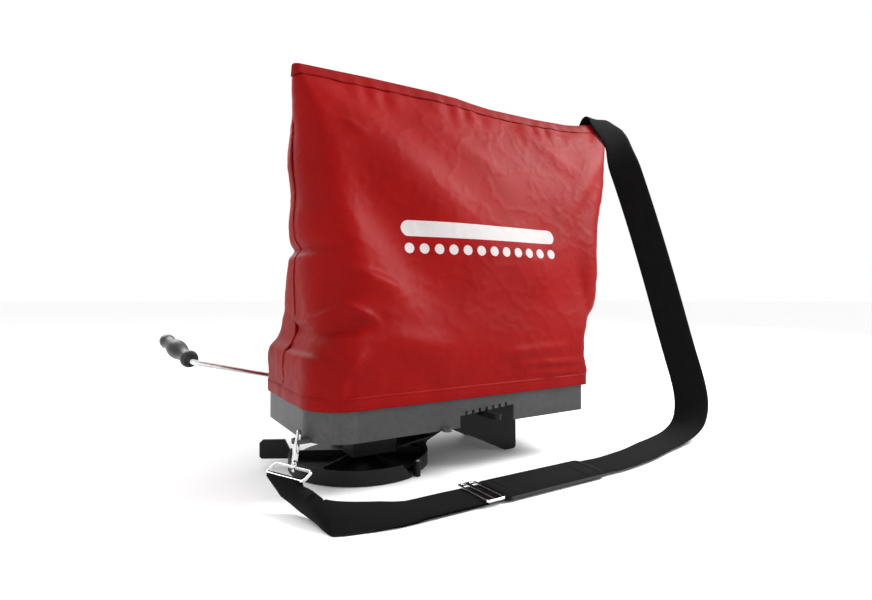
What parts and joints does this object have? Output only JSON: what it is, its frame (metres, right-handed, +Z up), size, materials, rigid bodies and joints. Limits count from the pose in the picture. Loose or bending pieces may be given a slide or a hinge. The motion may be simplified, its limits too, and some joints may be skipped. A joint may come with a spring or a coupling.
{
  "type": "hand crank salt spreader",
  "caption": "Shoulder-worn salt spreader: fabric hopper bag on a moulded tray, hand crank, spinning impeller, sliding gate, turning baffle and padded strap.",
  "frame": {"origin": "flat underside of the guard's pivot, on the impeller's upright axis, at floor level", "axes": "+X along the tray away from the impeller, +Y towards the crank, +Z up"},
  "size_m": [0.759, 0.4669, 0.5319],
  "materials": {
    "tray_grey": "satin moulded grey",
    "black_plastic": "satin moulded black",
    "natural_nylon": "matt off-white",
    "red_fabric": "coated plain weave",
    "black_webbing": "ribbed webbing",
    "black_pad": "padded woven",
    "zipper_tape": "woven tape",
    "chrome": "polished",
    "steel": "zinc plated",
    "rubber": "matt",
    "grip_black": "satin grip"
  },
  "bodies": {
    "root": {"tray_frame": "tray_grey", "hopper_floor": "black_plastic", "leg_near": "black_plastic", "leg_far": "black_plastic", "lower_guard": "black_plastic", "brace_near": "black_plastic", "brace_far": "black_plastic", "impeller_cover": "black_plastic", "drop_chute": "black_plastic", "gear_housing_lower": "black_plastic", "gear_housing_upper": "black_plastic", "retainer_ring": "black_plastic", "guard_pivot": "black_plastic", "shaft_bushing_lower": "natural_nylon", "shaft_bushing_upper": "natural_nylon", "crank_bushing_front": "natural_nylon", "crank_bushing_rear": "natural_nylon", "bag_front_panel": "red_fabric", "bag_back_panel": "red_fabric", "bag_top_hem": "red_fabric", "bag_bottom_hem": "red_fabric", "strap_webbing": "black_webbing", "strap_return": "black_webbing", "strap_anchor_patch": "black_webbing", "zipper_tape": "zipper_tape", "snap_hook": "chrome", "strap_ring": "chrome", "strap_adjuster": "chrome", "floor_screws": "steel", "leg_screws": "steel", "housing_screws": "steel", "retainer_screws": "steel", "guard_screw": "steel", "shaft_seal": "rubber"},
    "crank": {"crank_rod": "chrome", "crown_gear": "natural_nylon", "crown_gear_pin": "steel", "crank_clip": "steel", "grip_push_nut": "steel"},
    "grip": {"crank_grip": "grip_black", "grip_end_cap": "grip_black"},
    "impeller": {"impeller_shaft": "steel", "pinion_gear": "natural_nylon", "impeller_disc": "black_plastic", "impeller_nut": "steel", "agitator": "black_plastic"},
    "gate": {"gate_plate": "black_plastic", "gate_lever": "black_plastic", "gate_rivets": "steel"},
    "baffle": {"baffle_guard": "black_plastic"},
    "slider": {"zipper_slider": "chrome"},
    "pull": {"zipper_pull": "chrome"},
    "snap_gate": {"hook_gate": "chrome"},
    "pad": {"shoulder_pad": "black_pad"}
  },
  "joints": [
    {"name": "crank_spin", "type": "hinge", "parent": "root", "child": "crank", "pos_m": [0, 0.147, 0.086], "axis": [0, 1, 0], "continuous": true},
    {"name": "grip_spin", "type": "hinge", "parent": "crank", "child": "grip", "pos_m": [-0.185, 0.147, 0.131], "axis": [-0.2404, 0.9417, 0.2354], "continuous": true},
    {"name": "impeller_spin", "type": "hinge", "parent": "root", "child": "impeller", "pos_m": [0, 0, 0.07], "axis": [0, 0, 1], "continuous": true},
    {"name": "gate_slide", "type": "slide", "parent": "root", "child": "gate", "axis": [0.9974, 0, 0.0715], "range_m": [-0.0315, 0.0315]},
    {"name": "baffle_turn", "type": "hinge", "parent": "root", "child": "baffle", "pos_m": [0, 0, 0.003], "axis": [0, 0, 1], "range_deg": [-60, 0]},
    {"name": "zipper_slide", "type": "slide", "parent": "root", "child": "slider", "axis": [0.9995, 0, 0.0305], "range_m": [0, 0.37]},
    {"name": "pull_flip", "type": "hinge", "parent": "slider", "child": "pull", "pos_m": [-0.01003, 0.00534, 0.486], "axis": [0.0268, 0.4794, -0.8772], "range_deg": [-150, 0]},
    {"name": "snap_gate_turn", "type": "hinge", "parent": "root", "child": "snap_gate", "pos_m": [-0.10993, -0.08173, 0.0509], "axis": [-0.8241, 0.5664, -0.0004], "range_deg": [0, 22], "stiffness_Nm_per_rad": 0.02},
    {"name": "pad_slide", "type": "slide", "parent": "root", "child": "pad", "axis": [1, 0, 0], "range_m": [0, 0.03]}
  ],
  "couplings": [
    {"joint": "impeller_spin", "follows": "crank_spin", "ratio": 3.6}
  ]
}
